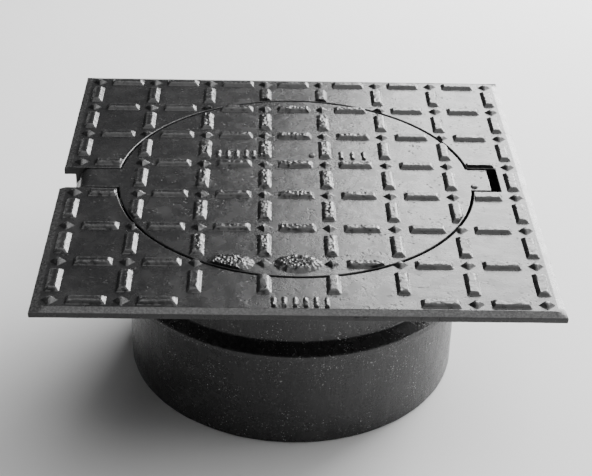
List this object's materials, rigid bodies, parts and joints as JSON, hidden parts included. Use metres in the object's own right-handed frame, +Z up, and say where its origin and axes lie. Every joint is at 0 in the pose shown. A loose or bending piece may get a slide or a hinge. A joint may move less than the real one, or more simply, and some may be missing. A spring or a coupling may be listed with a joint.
{
  "type": "manhole cover",
  "caption": "Hinged round manhole cover with raised tread in a square treaded frame, with a deep round skirt, an anchor ring and a lifting slot.",
  "frame": {"origin": "centre of the round skirt's foot, which is the bottom centre of the whole object", "axes": "+Z up through the lid, +X from the hinge towards the lifting slot, +Y across the cover"},
  "size_m": [0.4, 0.4, 0.173],
  "materials": {
    "frame_iron": "black bitumen-painted sand casting, semi-gloss",
    "lid_iron": "black bitumen-painted sand casting, semi-gloss, rougher tread",
    "gasket_rubber": "matt black elastomer",
    "pin_steel": "turned steel, lightly greased",
    "fastener_steel": "dull zinc-plated steel"
  },
  "bodies": {
    "frame_body": {"frame": "frame_iron", "seat_gasket": "gasket_rubber", "hinge_pin": "pin_steel", "hinge_washer_front": "fastener_steel", "hinge_washer_back": "fastener_steel", "split_pin_front": "fastener_steel", "split_pin_back": "fastener_steel"},
    "lid_body": {"lid": "lid_iron"}
  },
  "joints": [
    {"name": "lid_hinge", "type": "hinge", "parent": "frame_body", "child": "lid_body", "pos_m": [-0.18, 0, 0.152], "axis": [0, -1, 0], "range_deg": [0, 105]}
  ]
}
